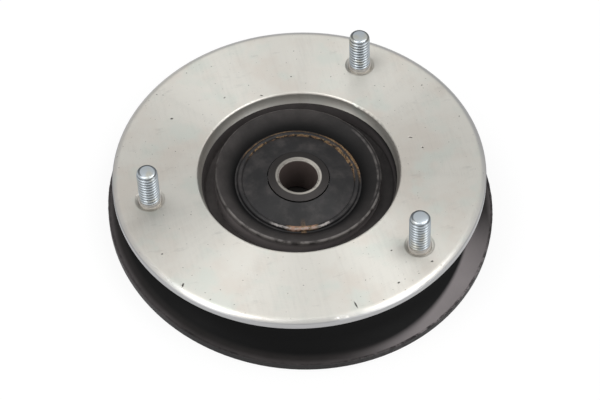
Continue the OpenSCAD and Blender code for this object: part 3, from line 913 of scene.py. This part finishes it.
def settings():
    """Values of the sizes, the colours and the stage."""
    scene = bpy.context.scene
    return scene.strut_mount_sizes, scene.strut_mount_colours, scene.strut_mount_stage


class STRUTMOUNT_OT_plate(bpy.types.Operator):
    """Finish the leaning top plate in bare steel"""

    bl_idname = "strut_mount.plate"
    bl_label = "Finish the plate"

    def execute(self, context):
        dress("top_plate", plate_steel(settings()[1]))
        return {"FINISHED"}


class STRUTMOUNT_OT_studs(bpy.types.Operator):
    """Make the three threaded studs in place of the plain ones"""

    bl_idname = "strut_mount.studs"
    bl_label = "Make the studs"

    def execute(self, context):
        sizes, colours, _ = settings()
        work = bmesh.new()
        for name in STUD_MOUNTS:
            mount = MOUNTS[name]
            axis = Vector(mount["axis"])
            radius = mount["dims"]["r_mm"] * MM
            length = mount["dims"]["length_mm"] * MM
            foot = Vector(mount["pos_m"]) - axis * (sizes.shoulder_h + length / 2)
            matrix = Matrix.Translation(foot) @ PLATE.to_3x3().to_4x4()
            lathe_rings(work, matrix, stud_rings(sizes, radius, length), sizes.round_steps)
        mesh = bpy.data.meshes.new("threaded_studs")
        work.to_mesh(mesh)
        work.free()
        mesh.shade_smooth()
        mesh.set_sharp_from_angle(angle=SHARP_TURN)
        piece = new_piece("threaded_studs", mesh, "housing", stud_zinc(colours))
        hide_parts("studs")
        return {"FINISHED"}


class STRUTMOUNT_OT_rubber(bpy.types.Operator):
    """Finish the rubber body and add the flash on its rim"""

    bl_idname = "strut_mount.rubber"
    bl_label = "Finish the rubber"

    def execute(self, context):
        sizes, colours, _ = settings()
        rubber = rubber_black(colours)
        dress("rubber_body", rubber)
        new_piece("rim_flash", flash_mesh(sizes), "housing", rubber)
        return {"FINISHED"}


class STRUTMOUNT_OT_steelwork(bpy.types.Operator):
    """Finish the blackened base dish, bearing cup and upper shield"""

    bl_idname = "strut_mount.steelwork"
    bl_label = "Finish the black steel"

    def execute(self, context):
        colours = settings()[1]
        dress("base_dish", black_steel(colours, "black_steel", False))
        rusty = black_steel(colours, "black_steel_rusty", True)
        dress("bearing_cup", rusty)
        dress("upper_shield", rusty)
        return {"FINISHED"}


# Pieces of the bearing that share one finish
BEARING_NODES = ("bearing_outer_ring", "bearing_inner_ring", "bearing_balls", "ball_cage", "lower_shield")


class STRUTMOUNT_OT_bearing(bpy.types.Operator):
    """Finish the bearing's rings, balls, cage and lower shield, and the sleeve"""

    bl_idname = "strut_mount.bearing"
    bl_label = "Finish the bearing and sleeve"

    def execute(self, context):
        colours = settings()[1]
        steel = bearing_steel(colours)
        for node in BEARING_NODES:
            dress(node, steel)
        dress("inner_sleeve", sleeve_steel(colours))
        return {"FINISHED"}


# Soft lamps: name, azimuth and elevation in degrees, side in metres and power in watts
LAMPS = (
    ("right_lamp", 4, 70, 0.45, 2.4),
    ("left_lamp", 164, 68, 0.45, 2.2),
    ("front_right_lamp", -45, 50, 0.4, 1.35),
    ("front_left_lamp", -167, 50, 0.4, 1.15),
)
# Distance of the lamps from the mount, in metres
LAMP_DISTANCE = 1.1
# Share of the open floor that is drawn as plain white
WHITE_SHARE = 0.85
# Radii between which the painted shadow under the mount turns to open floor
OPEN_FLOOR_R = (0.75 * RIM_R, 0.97 * RIM_R)
# Steps round the floor's edge
FLOOR_STEPS = 96
# Parts of a direction along Y and Z: the surroundings dim between the first two and are full past the others
BEHIND_Y = (0.15, 0.65)
ABOVE_Z = (0.1, 0.45)
# Width of the camera's sensor in millimetres, and the nearest and farthest that it sees in metres
SENSOR_W = 36
SIGHT = (0.01, 20)


def add_lamp(name, azimuth, elevation, size, power):
    """Adds a soft square lamp in a direction given in degrees, turned to the mount."""
    light = bpy.data.lights.new(name, "AREA")
    light.shape = "SQUARE"
    light.size = size
    light.energy = power
    lamp = bpy.data.objects.new(name, light)
    bpy.context.scene.collection.objects.link(lamp)
    turn = Matrix.Rotation(math.radians(azimuth), 4, "Z")
    lift = Matrix.Rotation(math.radians(-elevation), 4, "Y")
    away = turn @ lift @ Vector((1, 0, 0))
    lamp.location = away * LAMP_DISTANCE
    lamp.rotation_euler = away.to_track_quat("Z", "Y").to_euler()


def floor_finish(colour, shade):
    """Plain pale floor, mostly drawn as white so that the shadow stays faint, with a painted shadow under the
    mount.
    """
    finish = Finish("floor")
    radius = finish.polar(finish.point())[0]
    # Painted shadow under the mount, seen through the sleeve's bore
    bare = finish.ramp(radius, *OPEN_FLOOR_R)
    finish.surface(Base_Color=finish.mix(bare, shade, colour), Roughness=0.9, Specular_IOR_Level=0.1)
    rays = finish.add("ShaderNodeLightPath").outputs
    seen = finish.highest(rays["Is Camera Ray"], rays["Is Glossy Ray"], rays["Is Transmission Ray"])
    white = finish.add("ShaderNodeEmission", Color=(1.0, 1.0, 1.0), Strength=1.0)
    blend = finish.add("ShaderNodeMixShader", Fac=finish.product(seen, bare, WHITE_SHARE))
    finish.feed(blend.inputs[1], finish.shader.outputs[0])
    finish.feed(blend.inputs[2], white.outputs[0])
    output = finish.tree.nodes["Material Output"]
    finish.feed(output.inputs["Surface"], blend.outputs[0])
    return finish.material


def light_world(stage):
    """Even surroundings, a little brighter at the horizon than overhead and darker low behind the mount."""
    world = bpy.data.worlds.new("surroundings")
    world.use_nodes = True
    nodes = Nodes(world.node_tree)
    direction = nodes.add("ShaderNodeTexCoord").outputs["Generated"]
    parts = nodes.add("ShaderNodeSeparateXYZ", Vector=direction).outputs
    even = nodes.spread(parts["Z"], stage.horizon, stage.zenith)
    beside = nodes.spread(parts["Y"], 1.0, stage.behind, *BEHIND_Y)
    above = nodes.spread(parts["Z"], stage.behind, 1.0, *ABOVE_Z)
    background = world.node_tree.nodes["Background"]
    nodes.feed(background.inputs["Strength"], nodes.product(even, nodes.highest(beside, above)))
    nodes.feed(background.inputs["Color"], (1.0, 1.0, 1.0))
    bpy.context.scene.world = world


class STRUTMOUNT_OT_stage(bpy.types.Operator):
    """Set the floor, the soft lamps, the surroundings and the camera"""

    bl_idname = "strut_mount.stage"
    bl_label = "Set the stage"

    def execute(self, context):
        scene = context.scene
        _, colours, stage = settings()
        mesh = bpy.data.meshes.new("floor")
        work = bmesh.new()
        bmesh.ops.create_circle(work, cap_ends=True, radius=stage.floor_r, segments=FLOOR_STEPS)
        work.to_mesh(mesh)
        work.free()
        mesh.materials.append(floor_finish(colours.floor, colours.floor_shade))
        floor = bpy.data.objects.new("floor", mesh)
        scene.collection.objects.link(floor)
        light_world(stage)
        for lamp in LAMPS:
            add_lamp(*lamp)
        scene.view_settings.view_transform = "Standard"
        self.set_camera(scene, stage)
        return {"FINISHED"}

    def set_camera(self, scene, stage):
        """Puts the camera above the plate's face, turned to its middle."""
        lens = bpy.data.cameras.new("photo_view")
        lens.sensor_width = SENSOR_W
        lens.sensor_fit = "HORIZONTAL"
        lens.lens = stage.lens
        lens.clip_start, lens.clip_end = SIGHT
        camera = bpy.data.objects.new("photo_view", lens)
        scene.collection.objects.link(camera)
        tilt = Matrix.Rotation(math.radians(90) - stage.view_elevation, 4, "X")
        roll = Matrix.Rotation(-stage.view_roll, 4, "Z")
        step = Matrix.Translation((stage.view_side, -stage.view_drop, stage.view_distance))
        turn = Matrix.Rotation(stage.view_turn, 4, "Z")
        camera.matrix_world = PLATE @ turn @ tilt @ roll @ step
        scene.camera = camera


class STRUTMOUNT_PT_panel(bpy.types.Panel):
    """Lists the steps and the values that they use"""

    bl_idname = "STRUTMOUNT_PT_panel"
    bl_label = "Strut mount"
    bl_space_type = "VIEW_3D"
    bl_region_type = "UI"
    bl_category = "Strut mount"

    def draw(self, context):
        for step in STEPS:
            self.layout.operator(step.bl_idname)
        for group in settings():
            box = self.layout.box()
            for name in group.bl_rna.properties.keys():
                if name not in ("rna_type", "name"):
                    box.prop(group, name)


STEPS = (
    STRUTMOUNT_OT_plate,
    STRUTMOUNT_OT_studs,
    STRUTMOUNT_OT_rubber,
    STRUTMOUNT_OT_steelwork,
    STRUTMOUNT_OT_bearing,
    STRUTMOUNT_OT_stage,
)
GROUPS = (StrutMountSizes, StrutMountColours, StrutMountStage)


def register():
    for cls in (*GROUPS, *STEPS, STRUTMOUNT_PT_panel):
        bpy.utils.register_class(cls)
    bpy.types.Scene.strut_mount_sizes = PointerProperty(type=StrutMountSizes)
    bpy.types.Scene.strut_mount_colours = PointerProperty(type=StrutMountColours)
    bpy.types.Scene.strut_mount_stage = PointerProperty(type=StrutMountStage)


def unregister():
    del bpy.types.Scene.strut_mount_stage
    del bpy.types.Scene.strut_mount_colours
    del bpy.types.Scene.strut_mount_sizes
    for cls in reversed((*GROUPS, *STEPS, STRUTMOUNT_PT_panel)):
        bpy.utils.unregister_class(cls)


def main():
    """Makes the whole scene."""
    register()
    bpy.ops.strut_mount.plate()
    bpy.ops.strut_mount.studs()
    bpy.ops.strut_mount.rubber()
    bpy.ops.strut_mount.steelwork()
    bpy.ops.strut_mount.bearing()
    bpy.ops.strut_mount.stage()


if __name__ == "__main__":
    main()
